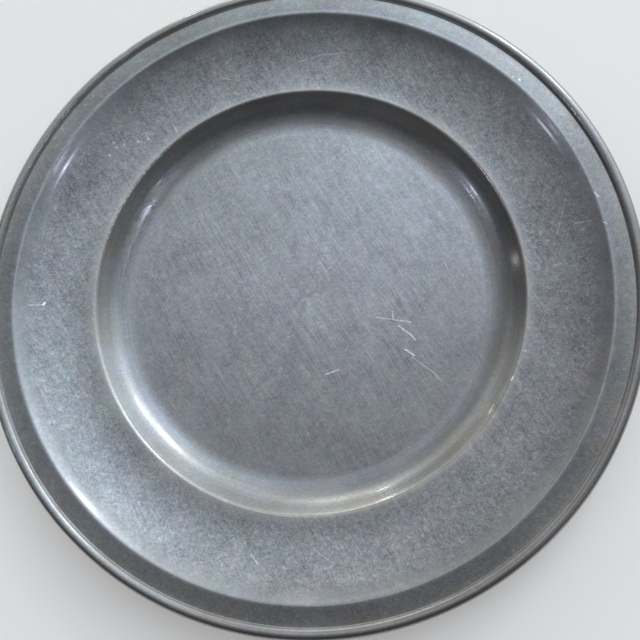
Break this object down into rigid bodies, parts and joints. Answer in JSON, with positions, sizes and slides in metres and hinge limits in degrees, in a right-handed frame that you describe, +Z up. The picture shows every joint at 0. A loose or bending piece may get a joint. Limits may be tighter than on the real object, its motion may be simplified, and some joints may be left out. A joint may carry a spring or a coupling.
{
  "type": "salver",
  "caption": "Round broad-rimmed pewter salver with a flat sunken well, a moulded border and an edge rolled over a wire, for serving and display.",
  "frame": {"origin": "centre of the flat underside of the well, on the surface that the salver stands on", "axes": "+Z up along the axis of the dish; X and Y lie in the standing surface, and the wire's ends meet on +Y"},
  "size_m": [0.321, 0.321, 0.0262],
  "materials": {
    "pewter": "dull grey pewter, brushed and finely scratched, with a thin dark patina",
    "steel_wire": "bare drawn steel wire, dull"
  },
  "bodies": {
    "root": {"dish": "pewter", "rim_wire": "steel_wire"}
  },
  "joints": []
}
